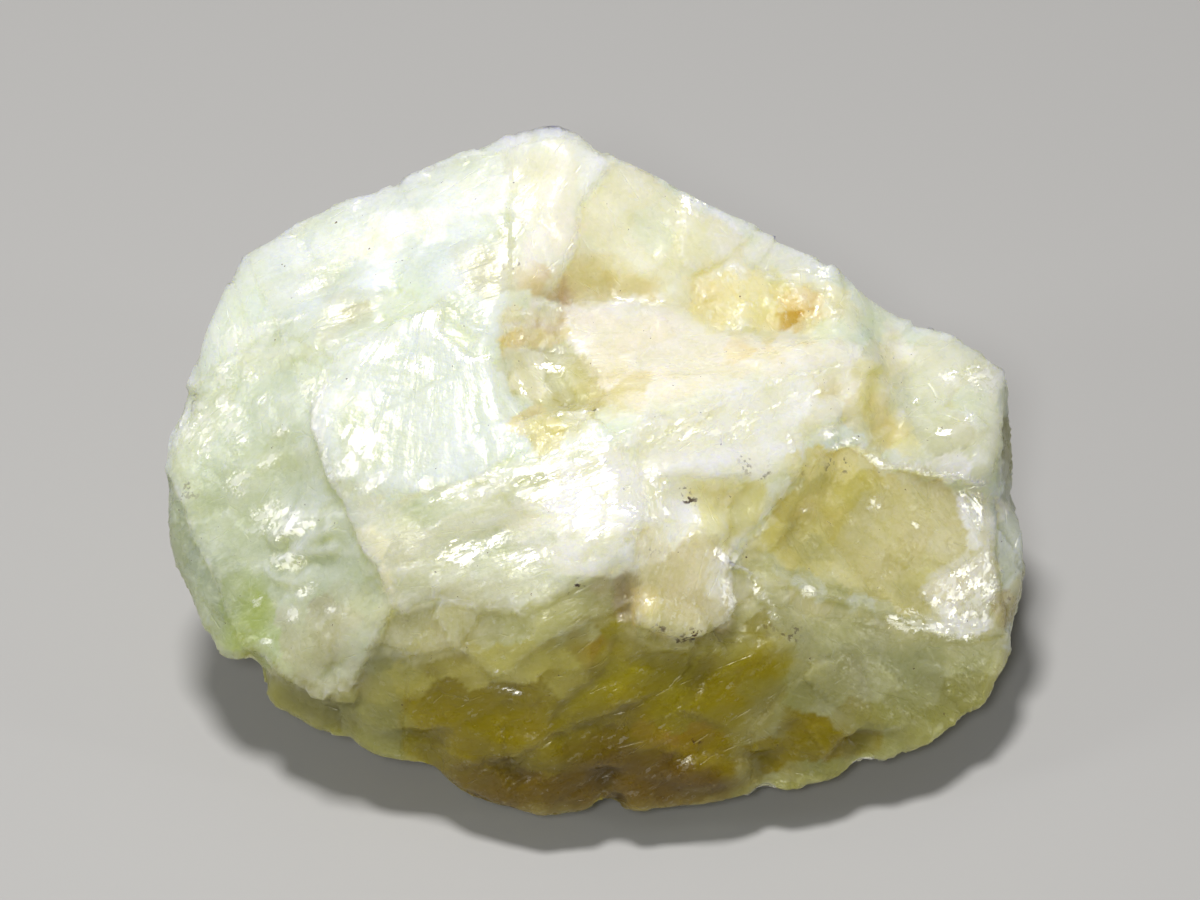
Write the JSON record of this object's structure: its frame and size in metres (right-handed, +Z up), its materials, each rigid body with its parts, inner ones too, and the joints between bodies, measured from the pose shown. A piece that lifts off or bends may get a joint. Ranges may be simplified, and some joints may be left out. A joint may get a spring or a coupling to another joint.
{
  "type": "datolite specimen",
  "caption": "Rough, broken lump of pale green, translucent datolite that rests on a flat fracture face.",
  "frame": {"origin": "under the middle of the lump, on the surface that it rests on", "axes": "+Z up, +X along the lump's longest extent, -Y out of the broken front"},
  "size_m": [0.0502, 0.0348, 0.031],
  "materials": {
    "datolite": "translucent pale mint to olive green crystal, glassy to waxy on broken faces, frosted white on its edges"
  },
  "bodies": {
    "root": {"datolite": "datolite"}
  },
  "joints": []
}
